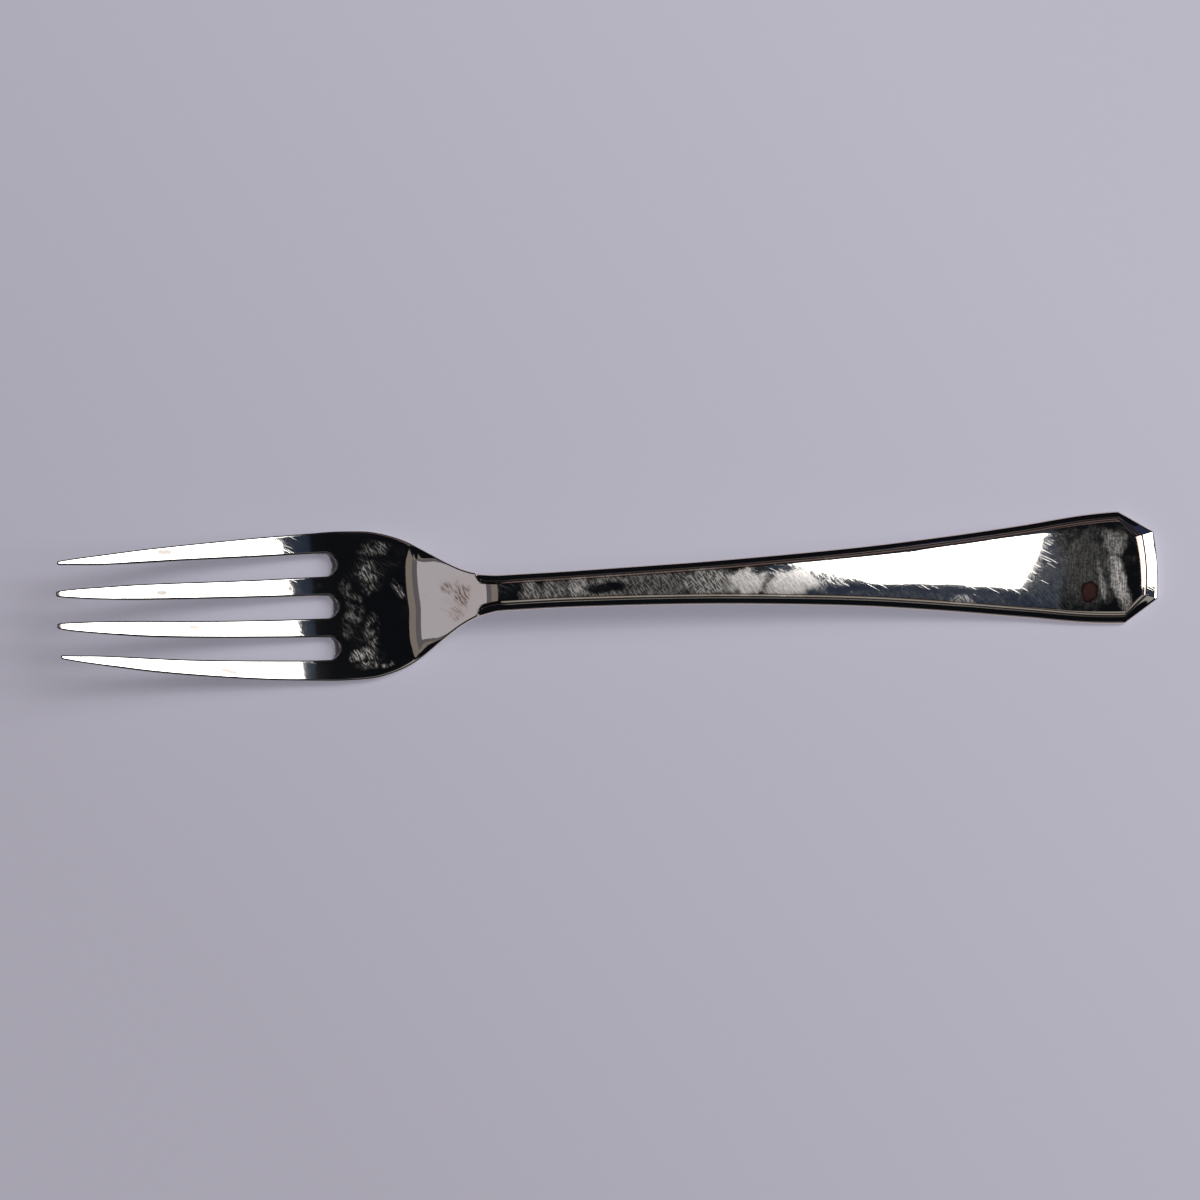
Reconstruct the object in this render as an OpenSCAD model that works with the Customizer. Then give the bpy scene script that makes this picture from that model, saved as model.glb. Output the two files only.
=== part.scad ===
/* [Overall] */
// Length from the middle tips to the end of the handle
overall_length = 203; // [185:1:225]

/* [Head] */
// Width of the head across its shoulders
head_width = 27.9; // [26.5:0.1:29.5]
// Length of the tines, from the tips to the roots of the slots
tine_length = 50.9; // [45:0.1:56]
// Width of a middle tine where it leaves the palm
tine_width = 3.5; // [3.1:0.05:3.9]
// Width of a middle tine at its blunt tip
tine_tip_width = 1; // [0.8:0.05:1.4]
// Width of the slots between the tines, at their roots
slot_width = 4.3; // [3.8:0.05:4.5]
// How far the outer tips stop short of the middle ones
outer_tine_setback = 0.4; // [0:0.1:1.2]
// Length over which the outer tines make up for that
setback_length = 9; // [5:0.5:14]
// Length of the rounding at each tip
tip_round_length = 0.9; // [0.5:0.1:1.5]
// Width of the softened rim round each slot root
slot_rim_width = 0.8; // [0.4:0.1:1.4]
// How much further the slots reach on the front than on the back
root_lean = 1.1; // [0:0.1:1.5]
// Length of the shoulders, from the slot roots to the shank
shoulder_length = 30.1; // [26:0.1:36]
// Depth of the hollow across the palm
dish_depth = 0.4; // [0.1:0.05:1]

/* [Shank] */
// Width of the shank where it is narrowest
shank_width = 6.7; // [5.5:0.1:8.5]
// Length of the narrowest stretch of the shank
shank_length = 8; // [4:0.5:16]

/* [Handle] */
// Width of the handle before its clipped corners
handle_width = 21; // [16:0.1:25]
// Length that the clipped corners take off the sides
corner_clip_length = 6.6; // [4:0.2:9]
// Depth that the clipped corners take off the end
corner_clip_depth = 4.2; // [2.5:0.1:6]
// How far the middle of the end stands out past its corners
end_bow = 0.4; // [0:0.1:1]
// Width of the raised border along the sides
side_border = 1.9; // [1.4:0.1:2.4]
// Width of the raised border across the end
end_border = 3.4; // [2.4:0.1:4]
// Depth of the corner clips of the panel inside the border
panel_clip_depth = 3.3; // [2:0.1:4.5]
// How far the border slopes down to the outer edge
border_drop = 0.85; // [0.4:0.05:1.1]
// Depth of the groove between the panel and the thread line round it
groove_depth = 0.1; // [0.06:0.02:0.2]
// Height of the crown across the panel
panel_crown = 0.2; // [0:0.05:0.4]
// How far before the end of the shoulders the border begins
border_lead = 4.5; // [2:0.5:8]
// Length over which the border rises from the plain metal
border_rise_length = 1.4; // [0.8:0.1:3]

/* [Thickness] */
// Thickness of the tines at their tips
tip_thickness = 1.3; // [1.1:0.1:1.8]
// Thickness of the palm at the slot roots
palm_thickness = 2.3; // [1.8:0.1:3]
// Thickness of the shank
shank_thickness = 3.2; // [2.4:0.1:4]
// Thickness of the handle at its end
handle_thickness = 2.5; // [2:0.1:3.2]
// Width and depth of the softened edges on the front
edge_softening = 0.35; // [0.15:0.05:0.5]
// Height of the rounding along the edges on the back
back_round = 0.45; // [0.2:0.05:0.6]

/* [Bend] */
// Height of the tips over the heel of the head
tip_rise = 18; // [12:0.5:24]
// Distance from the slot roots to the heel, where the head rests
heel_setback = 6.1; // [2:0.1:9]
// Distance from the heel to the top of the arch of the shank
arch_length = 43; // [34:1:52]
// Height of the underside at the top of the arch
arch_rise = 8.8; // [4:0.2:13]
// Depth of the worn flats where the fork rests
rest_flat = 0.06; // [0.02:0.01:0.1]

/* [Hidden] */
silver = [0.79, 0.78, 0.77];

// Counts of rows along the fork, in each of its stretches
tine_row_count = 15;
root_row_count = 6;
shoulder_row_count = 20;
handle_row_count = 26;

// Four tines of five columns each, and three slots between them
tine_count = 4;
tine_columns = 5;
column_count = tine_count * tine_columns;
// Columns from the outer edge to the centre line, once the slots have closed
centre_column = 8;
// Steps across the border on each side, and steps along the end
border_levels = 5;
end_points = 6;

// Power of the sweep of the tines in the side view
tine_sweep_power = 1.75;
// Depth of the hollow at the tips, as a share of its depth in the palm
tip_dish_share = 0.5;

// Shares of the rounding at a tip, from the tip on
tip_round_shares = [0, 0.35];
// Width left at the very tip, as a share of the tine's width there
tip_round_share = 0.6;

// The next three tables begin just before the tips, so that their curves leave the tips aslant.
// How wide the head is along the tines: place from the tips to the slot roots, and share of its width
head_shares = [
    [-0.05, 0.62], [0, 0.647], [0.06, 0.685], [0.16, 0.737], [0.34, 0.826],
    [0.56, 0.905], [0.75, 0.958], [0.9, 0.985], [1, 1]
];
// How a middle tine widens: place from its tip to the slot roots, and width gained over the tip's
taper_shares = [
    [-0.05, -0.2], [0, 0.03], [0.053, 0.26], [0.16, 0.53], [0.34, 0.79], [0.75, 0.92], [1, 1]
];
// How wide the slots are: place from the tips to the slot roots, and share of their width there
slot_shares = [
    [-0.05, 1.2], [0, 1.12], [0.06, 1.03], [0.16, 0.94], [0.3, 0.905],
    [0.45, 0.94], [0.75, 0.985], [1, 1]
];
// How the shoulders narrow: place along them, and width still left over the shank's
shoulder_shares = [
    [0, 1], [0.18, 0.985], [0.3, 0.915], [0.42, 0.79], [0.54, 0.58],
    [0.665, 0.338], [0.785, 0.143], [0.9, 0.035], [1, 0]
];
// How the handle widens: place from the shank to the corners, and width gained
flare_shares = [
    [0, 0], [0.13, 0.03], [0.27, 0.085], [0.41, 0.18], [0.55, 0.31],
    [0.69, 0.505], [0.83, 0.745], [0.95, 0.965], [1, 1]
];
// How the underside climbs from the heel to the top of the arch
climb_shares = [
    [0, 0], [0.07, 0.004], [0.145, 0.018], [0.185, 0.047], [0.225, 0.126], [0.35, 0.443],
    [0.495, 0.833], [0.523, 0.896], [0.551, 0.924], [0.7, 0.976], [0.84, 0.995], [1, 1]
];
// How the underside falls from the top of the arch to the end of the handle
fall_shares = [
    [0, 1], [0.1, 0.979], [0.2, 0.917], [0.3, 0.828], [0.4, 0.713], [0.5, 0.563], [0.6, 0.381],
    [0.7, 0.195], [0.777, 0.087], [0.845, 0.032], [0.922, 0.004], [1, 0]
];
// Where each level of the border lies, from the outer edge to the panel
level_shares = [0, 0.57, 0.65, 0.92, 0.955, 1];
// How low the bevel's top and the thread's two sides lie, as shares of the border's drop
bevel_top_share = 0.28;
thread_low_share = 0.2;
thread_high_share = 0.05;

// Places along the fork, measured from the middle tips
slot_radius = slot_width / 2;
straight_slot_end = tine_length - slot_radius;
heel_place = tine_length + heel_setback;
arch_place = heel_place + arch_length;
shoulder_end = tine_length + shoulder_length;
flare_start = shoulder_end + shank_length;
corner_place = overall_length - corner_clip_length;
border_start = shoulder_end - border_lead;
head_half_width = head_width / 2;

// Thickness along the fork, at named places
thickness_points = [
    [0, tip_thickness], [tine_length, palm_thickness],
    [flare_start, shank_thickness], [overall_length, handle_thickness]
];

function clamp01(t) = min(max(t, 0), 1);
function ease(t) = let (u = clamp01(t)) u * u * (3 - 2 * u);
function mix(a, b, t) = a + (b - a) * t;

// A smooth curve through a table of points, which never passes beyond two neighbours
function rise_over_run(table, k) =
    (table[k + 1][1] - table[k][1]) / (table[k + 1][0] - table[k][0]);
function slope_at(table, k) =
    k == 0 || k == len(table) - 1 ? 0
    : let (a = rise_over_run(table, k - 1), b = rise_over_run(table, k))
      a * b <= 0 ? 0 : 2 * a * b / (a + b);
function curve_between(table, k, s) =
    let (
        span = table[k + 1][0] - table[k][0],
        t = (s - table[k][0]) / span,
        back = 1 - t
    )
    table[k][1] * (1 + 2 * t) * back * back
    + slope_at(table, k) * span * t * back * back
    + table[k + 1][1] * t * t * (3 - 2 * t)
    - slope_at(table, k + 1) * span * t * t * back;
function curve(table, s) =
    s <= table[0][0] ? table[0][1]
    : s >= table[len(table) - 1][0] ? table[len(table) - 1][1]
    : curve_between(table, max([for (k = [0 : len(table) - 2]) if (s >= table[k][0]) k]), s);

// Plan of the head: width of a middle tine, width of a slot before and at its round root
function tine_width_at(s) =
    mix(tine_tip_width, tine_width, curve(taper_shares, s / straight_slot_end));
function open_slot_at(s) = slot_width * curve(slot_shares, s / straight_slot_end);
function half_slot_at(s) =
    let (t = (s - tine_length + slot_radius) / slot_radius)
    s >= tine_length ? 0 : open_slot_at(s) / 2 * (t <= 0 ? 1 : sqrt(1 - t * t));
function half_width_at(s) =
    s <= tine_length ? head_half_width * curve(head_shares, s / tine_length)
    : s <= shoulder_end
        ? mix(shank_width / 2, head_half_width, curve(shoulder_shares, (s - tine_length) / shoulder_length))
    : mix(shank_width / 2, handle_width / 2,
          curve(flare_shares, (s - flare_start) / (corner_place - flare_start)));
function slot_centre_at(k, s) =
    (k - 1) * (tine_width_at(s) + open_slot_at(s)) * (s <= tine_length ? 1 : half_width_at(s) / head_half_width);

// Narrowing of a tine at its rounded tip
function tip_narrowing_at(s) =
    let (t = 1 - clamp01(s / tip_round_length))
    mix(1, tip_round_share, 1 - sqrt(1 - t * t));

// Side view: height of the underside, and thickness
function underside_at(s) =
    s < heel_place ? tip_rise * pow(1 - s / heel_place, tine_sweep_power)
    : s < arch_place ? arch_rise * curve(climb_shares, (s - heel_place) / arch_length)
    : arch_rise * curve(fall_shares, (s - arch_place) / (overall_length - arch_place));
function dish_at(s) =
    s < tine_length ? dish_depth * mix(tip_dish_share, 1, ease(s / tine_length))
    : dish_depth * (1 - ease((s - tine_length) / (border_start - tine_length)));
function sheet_at(s, y) =
    underside_at(s) - rest_flat + dish_at(s) * pow(y / head_half_width, 2);

// How much of the section at s is the handle's, with its border and panel
function handle_plan_at(s) = ease((s - tine_length) / (border_start - tine_length));
function handle_relief_at(s) = ease((s - border_start) / border_rise_length);

// The place across of column q in the head, as five columns to a tine
function head_place(q, s) =
    let (
        tine = floor(q / tine_columns),
        column = q % tine_columns,
        low = tine == 0 ? -half_width_at(s) : slot_centre_at(tine - 1, s) + half_slot_at(s),
        high = tine == tine_count - 1 ? half_width_at(s) : slot_centre_at(tine, s) - half_slot_at(s),
        middle = (low + high) / 2,
        half = (high - low) / 2 * tip_narrowing_at(s),
        soft = min(edge_softening, half / 2),
        places = [middle - half, middle - half + soft, middle, middle + half - soft, middle + half]
    )
    places[column];

// Past the slots, the columns beside each slot are one: column q is then unique column u
function unique_column(q) = q - floor(q / tine_columns);
function column_of(u) = u + floor((max(u, 1) - 1) / (tine_columns - 1));

// The place across of unique column u in the handle
function handle_place(u, half_width) =
    let (
        side = u < centre_column ? -1 : 1,
        k = u < centre_column ? u : 2 * centre_column - u,
        panel_half = half_width - side_border
    )
    side * (k < border_levels
        ? half_width - side_border * level_shares[k]
        : panel_half * (centre_column - k) / (centre_column - border_levels));

function place_across(q, s) =
    let (t = handle_plan_at(s))
    t <= 0 ? head_place(q, s)
    : mix(head_place(q, s), handle_place(unique_column(q), half_width_at(s)), t);

function is_outer(q) = q == 0 || q == column_count - 1;
function is_slot_side(q) = !is_outer(q) && (q % tine_columns == 0 || q % tine_columns == tine_columns - 1);

// How far the front lies below the plain sheet, in the head and in the handle
function head_drop(q, s) =
    is_outer(q) ? edge_softening
    : is_slot_side(q) ? edge_softening * (1 - clamp01((s - tine_length) / slot_rim_width))
    : 0;
function border_drop_at(k) =
    k == 0 ? border_drop
    : k == 1 ? border_drop * bevel_top_share
    : k == 2 ? border_drop * thread_low_share
    : k == 3 ? border_drop * thread_high_share
    : k < border_levels ? groove_depth
    : -panel_crown * (1 - pow((centre_column - k) / (centre_column - border_levels), 2));
function handle_drop(u) = border_drop_at(u < centre_column ? u : 2 * centre_column - u);
function front_drop(q, s) =
    mix(head_drop(q, s), handle_drop(unique_column(q)), handle_relief_at(s));

// How far the back is rounded up towards its edges, and how far the back of a slot's root lies short
function back_lift(q, s) =
    is_outer(q) ? back_round : is_slot_side(q) && s < tine_length ? back_round : 0;
function lean_at(q, s) =
    is_slot_side(q)
        ? root_lean * clamp01((s - straight_slot_end) / slot_radius)
            * (1 - clamp01((s - tine_length) / (2 * slot_rim_width)))
        : 0;

function tip_setback(q, s) =
    let (tine = floor(q / tine_columns))
    tine == 0 || tine == tine_count - 1 ? outer_tine_setback * (1 - clamp01(s / setback_length)) : 0;

function front_point(q, s) =
    let (y = place_across(q, s))
    [s + tip_setback(q, s), y, sheet_at(s, y) + curve(thickness_points, s) - front_drop(q, s)];
function back_point(q, s) =
    let (y = place_across(q, s), place = s - lean_at(q, s))
    [place + tip_setback(q, s), y, sheet_at(place, y) + back_lift(q, s)];

// Places of the rows, from the tips to the start of the corner clips
function steps(from, to, count) = [for (i = [1 : count]) mix(from, to, i / count)];
rows = concat(
    [for (share = tip_round_shares) share * tip_round_length],
    [tip_round_length],
    steps(tip_round_length, straight_slot_end, tine_row_count),
    [for (i = [1 : root_row_count]) straight_slot_end + slot_radius * sin(90 * i / root_row_count)],
    [tine_length + slot_rim_width],
    steps(tine_length + slot_rim_width, border_start, shoulder_row_count),
    [border_start + border_rise_length / 2, border_start + border_rise_length],
    steps(border_start + border_rise_length, corner_place, handle_row_count)
);
root_row = len(tip_round_shares) + tine_row_count + root_row_count;
last_row = len(rows) - 1;

// The end of the handle: points along its clipped and bowed outline, at a share of the border's width
function end_outline(half_width, border_share) =
    let (
        clip_end = mix(corner_clip_depth, panel_clip_depth, border_share),
        half = half_width - side_border * border_share,
        end = overall_length - end_border * border_share,
        corner = half - clip_end
    )
    [
        [corner_place, -half],
        [end - end_bow, -corner],
        [end - end_bow / 4, -corner / 2],
        [end, 0],
        [end - end_bow / 4, corner / 2],
        [end - end_bow, corner],
        [corner_place, half]
    ];
function end_place(k, p) = end_outline(handle_width / 2, level_shares[k])[p];
function end_front(k, p) =
    let (xy = end_place(k, p))
    [xy.x, xy.y, sheet_at(xy.x, xy.y) + curve(thickness_points, xy.x) - border_drop_at(k)];
function end_back(k, p) =
    let (xy = end_place(k, p))
    [xy.x, xy.y, sheet_at(xy.x, xy.y) + (k == 0 ? back_round : 0)];

// All points: the front, the back, then the two sides of the clipped end
row_points = len(rows) * column_count;
end_row = end_points - 1;
points = concat(
    [for (s = rows) for (q = [0 : column_count - 1]) front_point(q, s)],
    [for (s = rows) for (q = [0 : column_count - 1]) back_point(q, s)],
    [for (k = [0 : border_levels]) for (p = [1 : end_row]) end_front(k, p)],
    [for (k = [0 : border_levels]) for (p = [1 : end_row]) end_back(k, p)]
);

// Numbers of the points. side is 0 on the front and 1 on the back
function joined(i, q) = i >= root_row && q > 0 && q % tine_columns == 0 ? q - 1 : q;
function row_id(side, i, q) = side * row_points + i * column_count + joined(i, q);
function end_id(side, k, p) =
    p == 0 ? row_id(side, last_row, column_of(k))
    : p == end_points ? row_id(side, last_row, column_of(2 * centre_column - k))
    : 2 * row_points + side * (border_levels + 1) * end_row + k * end_row + p - 1;

// Two triangles from four corners, without those that have no width, turned over on the back
function if_wide(triangle) =
    triangle[0] == triangle[1] || triangle[1] == triangle[2] || triangle[0] == triangle[2] ? [] : [triangle];
function patch(side, a, b, c, d) =
    side == 0 ? concat(if_wide([a, b, c]), if_wide([a, c, d])) : concat(if_wide([a, d, c]), if_wide([a, c, b]));
function flat_list(lists) = [for (each_list = lists) for (item = each_list) item];

function is_slot(i, q) = q % tine_columns == tine_columns - 1;
sheet_faces = flat_list([
    for (side = [0, 1]) for (i = [0 : last_row - 1]) for (q = [0 : column_count - 2])
        if (!is_slot(i, q))
            patch(side, row_id(side, i, q), row_id(side, i, q + 1),
                row_id(side, i + 1, q + 1), row_id(side, i + 1, q))
]);
function low_wall(i, q) =
    patch(0, row_id(0, i, q), row_id(0, i + 1, q), row_id(1, i + 1, q), row_id(1, i, q));
function high_wall(i, q) =
    patch(0, row_id(0, i + 1, q), row_id(0, i, q), row_id(1, i, q), row_id(1, i + 1, q));
outer_walls = flat_list([
    for (i = [0 : last_row - 1]) concat(low_wall(i, 0), high_wall(i, column_count - 1))
]);
slot_walls = flat_list([
    for (i = [0 : root_row - 1]) for (tine = [1 : tine_count - 1])
        concat(low_wall(i, tine * tine_columns), high_wall(i, tine * tine_columns - 1))
]);
tip_faces = flat_list([
    for (q = [0 : column_count - 2]) if (!is_slot(0, q))
        patch(0, row_id(0, 0, q + 1), row_id(0, 0, q), row_id(1, 0, q), row_id(1, 0, q + 1))
]);
// The panel between the last row and the clipped end, the border across the end, and its wall
panel_end_faces = flat_list([
    for (side = [0, 1]) for (p = [0 : end_points - 1])
        let (near = border_levels + p)
        patch(side, row_id(side, last_row, column_of(near)), row_id(side, last_row, column_of(near + 1)),
            end_id(side, border_levels, p + 1), end_id(side, border_levels, p))
]);
border_end_faces = flat_list([
    for (side = [0, 1]) for (k = [1 : border_levels]) for (p = [0 : end_points - 1])
        patch(side, end_id(side, k, p), end_id(side, k, p + 1), end_id(side, k - 1, p + 1), end_id(side, k - 1, p))
]);
end_walls = flat_list([
    for (p = [0 : end_points - 1])
        patch(0, end_id(0, 0, p), end_id(0, 0, p + 1), end_id(1, 0, p + 1), end_id(1, 0, p))
]);

// The whole fork, one forged piece, cut flat where it rests on the table
module fork() {
    room = overall_length;
    color(silver)
        intersection() {
            translate([-overall_length / 2, 0, 0])
                polyhedron(
                    points = points,
                    faces = concat(sheet_faces, outer_walls, slot_walls, tip_faces,
                        panel_end_faces, border_end_faces, end_walls)
                );
            translate([-room, -room, 0])
                cube([2 * room, 2 * room, room]);
        }
}

fork();
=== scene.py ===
import math

import bmesh
import bpy
import numpy as np
from mathutils import Matrix, Vector


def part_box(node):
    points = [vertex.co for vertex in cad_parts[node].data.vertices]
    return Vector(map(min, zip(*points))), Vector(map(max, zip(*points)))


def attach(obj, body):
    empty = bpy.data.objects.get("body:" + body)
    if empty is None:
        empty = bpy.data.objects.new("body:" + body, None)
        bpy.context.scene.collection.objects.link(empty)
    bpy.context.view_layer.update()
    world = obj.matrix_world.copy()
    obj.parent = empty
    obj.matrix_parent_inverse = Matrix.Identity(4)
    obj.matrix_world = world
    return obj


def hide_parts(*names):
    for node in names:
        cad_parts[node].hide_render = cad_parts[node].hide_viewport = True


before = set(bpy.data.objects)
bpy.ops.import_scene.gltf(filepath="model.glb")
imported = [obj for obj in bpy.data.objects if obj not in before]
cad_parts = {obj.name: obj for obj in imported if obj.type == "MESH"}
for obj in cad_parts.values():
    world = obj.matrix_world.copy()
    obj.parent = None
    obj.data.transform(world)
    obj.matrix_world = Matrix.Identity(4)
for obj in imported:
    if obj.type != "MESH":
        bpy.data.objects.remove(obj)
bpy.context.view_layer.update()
MM = 0.001

# Sizes in millimetres, mostly those of the construction. s is the place along the fork, from the middle tips
LOW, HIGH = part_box("fork")
OVERALL_LENGTH = (HIGH.x - LOW.x) / MM
HEAD_HALF_WIDTH = (HIGH.y - LOW.y) / MM / 2
TINE_LENGTH = 50.9
TINE_WIDTH = 3.5
TINE_TIP_WIDTH = 1
SLOT_WIDTH = 4.3
ROOT_LEAN = 1.1
ROOT_LEAN_REACH = 1.7
OUTER_TINE_SETBACK = 0.4
SETBACK_LENGTH = 9
TIP_ROUND_LENGTH = 0.9
TIP_ROUND_SHARE = 0.6
SHOULDER_LENGTH = 30.1
SHANK_HALF_WIDTH = 3.35
SHANK_LENGTH = 8
HANDLE_HALF_WIDTH = 10.5
CORNER_CLIP_LENGTH = 6.6
CORNER_CLIP_DEPTH = 4.2
PANEL_CLIP_DEPTH = 3.3
END_BOW = 0.4
SIDE_BORDER = 1.9
END_BORDER = 3.4
BORDER_DROP = 0.85
PANEL_CROWN = 0.26
FULL_CROWN_HALF_WIDTH = 4.5
CROWN_START_LENGTH = 6
BORDER_LEAD = 4.5
BORDER_RISE_LENGTH = 1.6
BORDER_STEP_SHARE = 0.3
LEAST_BORDER_SHARE = 0.02
LEAST_PANEL_HALF_WIDTH = 1
TIP_RISE = 17.9
HEEL_SETBACK = 6.1
ARCH_LENGTH = 43
ARCH_RISE = 8.8
REST_FLAT = 0.06
DISH_DEPTH = 0.4
TIP_DISH_SHARE = 0.5
TINE_SWEEP_POWER = 1.75
EDGE_RADIUS = 0.3
THREAD_SHARE = 0.805
THREAD_HALF_SHARE = 0.15
TIP_FACE_LENGTH = 0.6
TIP_FACE_BLUR = 0.12
ROLL_WIDTH = 0.8
ROLL_DEPTH = 0.06
NECK_FALL_START = 6
NECK_FALL_END = 10.5
NECK_FALL = 0.0145
NECK_FALL_PLACES = [50, 64]
BEND_SHIFT_PLACES = [67, 73]
BACK_RADIUS = 0.45
HANDLE_EDGE_SHARE = 0.5

# Widths of the bells that soften the outline, the side view and the neck's bends, along the fork
OUTLINE_SOFTENING = 0.7
SIDE_SOFTENING = 2.5
BEND_SOFTENING = 0.5

HEAD_SHARES = [
    [-0.05, 0.62], [0, 0.647], [0.06, 0.685], [0.16, 0.737], [0.34, 0.826],
    [0.56, 0.905], [0.75, 0.958], [0.9, 0.985], [1, 1],
]
TAPER_SHARES = [
    [-0.05, -0.2], [0, 0.03], [0.053, 0.26], [0.16, 0.53], [0.34, 0.79], [0.75, 0.92], [1, 1],
]
SLOT_SHARES = [
    [-0.05, 1.2], [0, 1.12], [0.06, 1.03], [0.16, 0.94], [0.3, 0.905],
    [0.45, 0.94], [0.75, 0.985], [1, 1],
]
SHOULDER_SHARES = [
    [0, 1], [0.18, 0.985], [0.3, 0.915], [0.42, 0.79], [0.54, 0.58],
    [0.665, 0.338], [0.785, 0.143], [0.9, 0.035], [1, 0],
]
FLARE_SHARES = [
    [0, 0], [0.13, 0.03], [0.27, 0.085], [0.41, 0.18], [0.55, 0.31],
    [0.69, 0.505], [0.83, 0.745], [0.95, 0.965], [1, 1],
]
# Slope of the underside from the heel to the top of the arch: a straight neck between two tight bends
CLIMB_SLOPES = [[0, 0], [0.145, 0.06], [0.225, 0.46], [0.46, 0.523], [0.495, 0.455], [0.552, 0.088], [1, 0]]
# How much farther along than the middle the neck's first bend begins, at places across the fork
BEND_SHIFTS = [
    [-10.5, 0.8], [-9.5, 0.6], [-8.5, 0.4], [-6.7, 0.12], [-4.8, 0.14], [-3, 0.25], [-1.4, 0.32],
    [0.2, 0.18], [1.9, 0], [3.4, -0.1], [5.4, -0.13], [7.4, 0], [8.6, 0.3], [9.5, 0.6], [10.5, 0.9],
]
# Slope of the underside from the top of the arch to the end of the handle, as shares of the steepest
FALL_SLOPES = [
    [0, 0], [0.097, 0.245], [0.194, 0.38], [0.291, 0.5], [0.388, 0.62], [0.485, 0.8], [0.553, 0.96],
    [0.631, 1], [0.7, 0.885], [0.777, 0.55], [0.845, 0.29], [0.922, 0.1], [0.96, 0.015], [1, 0],
]
# Drop of the border from its outer edge to the panel: the bevel, the groove and the thread line
BORDER_PROFILE = [
    [0, 1], [0.02, 0.974], [0.3, 0.62], [0.56, 0.292], [0.61, 0.25], [0.65, 0.28], [0.68, 0.235],
    [0.72, 0.165], [0.78, 0.105], [0.84, 0.062], [0.9, 0.034], [0.96, 0.014], [1, 0],
]
# How much painted shading the border gets, from its outer edge to the panel: painted shade in the groove, and
# a painted copper reflection along the inside of the thread
GROOVE_SHADES = [
    [0, 0], [0.56, 0], [0.61, 0.9], [0.65, 1], [0.68, 0.8], [0.72, 0], [0.84, 0], [0.9, 0.5],
    [0.96, 0.55], [1, 0],
]

SLOT_RADIUS = SLOT_WIDTH / 2
SLOT_ROOT = TINE_LENGTH - SLOT_RADIUS
HEEL_PLACE = TINE_LENGTH + HEEL_SETBACK
ARCH_PLACE = HEEL_PLACE + ARCH_LENGTH
SHOULDER_END = TINE_LENGTH + SHOULDER_LENGTH
FLARE_START = SHOULDER_END + SHANK_LENGTH
CORNER_PLACE = OVERALL_LENGTH - CORNER_CLIP_LENGTH
BORDER_START = SHOULDER_END - BORDER_LEAD
SLOT_SPACING = TINE_WIDTH + SLOT_WIDTH
THICKNESS_POINTS = [[0, 1.3], [TINE_LENGTH, 2.3], [FLARE_START, 3.2], [OVERALL_LENGTH, 2.5]]


# Curves

def curve(table, s):
    """A smooth curve through a table of points, which never passes beyond two neighbours."""
    xs, ys = np.array(table, float).T
    run = np.diff(xs)
    rise = np.diff(ys) / run
    product = rise[:-1] * rise[1:]
    total = np.where(product > 0, rise[:-1] + rise[1:], 1)
    slopes = np.zeros(len(xs))
    slopes[1:-1] = np.where(product > 0, 2 * product / total, 0)
    s = np.clip(s, xs[0], xs[-1])
    k = np.clip(np.searchsorted(xs, s, side="right") - 1, 0, len(run) - 1)
    t = (s - xs[k]) / run[k]
    back = 1 - t
    return (
        ys[k] * (1 + 2 * t) * back**2
        + slopes[k] * run[k] * t * back**2
        + ys[k + 1] * t**2 * (3 - 2 * t)
        - slopes[k + 1] * run[k] * t**2 * back
    )


def ease(t):
    t = np.clip(t, 0, 1)
    return t * t * (3 - 2 * t)


def mix(a, b, t):
    return a + (b - a) * t


def softened(profile, spread):
    """A profile along the fork, averaged over a bell of this spread, so that reflections run smoothly."""
    step = 0.2
    margin = 5
    reach = 4 * spread
    places = np.arange(-reach - margin, OVERALL_LENGTH + reach + margin, step)
    bell = np.exp(-0.5 * (np.arange(-reach, reach + step / 2, step) / spread) ** 2)
    averaged = np.convolve(profile(places), bell / bell.sum(), mode="same")
    inside = slice(len(bell) // 2, -(len(bell) // 2))
    places = places[inside]
    averaged = averaged[inside]
    slopes = np.gradient(averaged, step)

    def value(s):
        s = np.asarray(s, float)
        k = np.clip(((s - places[0]) / step).astype(int), 0, len(places) - 2)
        t = (s - places[k]) / step
        back = 1 - t
        return (
            averaged[k] * (1 + 2 * t) * back**2
            + slopes[k] * step * t * back**2
            + averaged[k + 1] * t**2 * (3 - 2 * t)
            - slopes[k + 1] * step * t**2 * back
        )

    return value


# Plan of the fork

def tine_width(s):
    return mix(TINE_TIP_WIDTH, TINE_WIDTH, curve(TAPER_SHARES, s / SLOT_ROOT))


def open_slot(s):
    return SLOT_WIDTH * curve(SLOT_SHARES, s / SLOT_ROOT)


def plain_half_width(s):
    head = HEAD_HALF_WIDTH * curve(HEAD_SHARES, s / TINE_LENGTH)
    shoulder = curve(SHOULDER_SHARES, (s - TINE_LENGTH) / SHOULDER_LENGTH)
    shoulder = mix(SHANK_HALF_WIDTH, HEAD_HALF_WIDTH, shoulder)
    flare = curve(FLARE_SHARES, (s - FLARE_START) / (CORNER_PLACE - FLARE_START))
    handle = mix(SHANK_HALF_WIDTH, HANDLE_HALF_WIDTH, flare)
    return np.where(s <= TINE_LENGTH, head, np.where(s <= SHOULDER_END, shoulder, handle))


half_width = softened(plain_half_width, OUTLINE_SOFTENING)


def slant(s):
    """How much wider across a band along the edge is than square to the edge."""
    reach = 0.1
    slope = (half_width(s + reach) - half_width(s - reach)) / (2 * reach)
    return np.sqrt(1 + slope**2)


# Side view

def plain_sweep(s):
    """Height of the tines over the heel, and loss of height past the top of the arch."""
    sweep = TIP_RISE * np.clip(1 - s / HEEL_PLACE, 0, None) ** TINE_SWEEP_POWER
    fall = -ARCH_RISE * run_of(FALL_SLOPES, (s - ARCH_PLACE) / (OVERALL_LENGTH - ARCH_PLACE))
    return np.where(s < ARCH_PLACE, sweep, fall)


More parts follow.
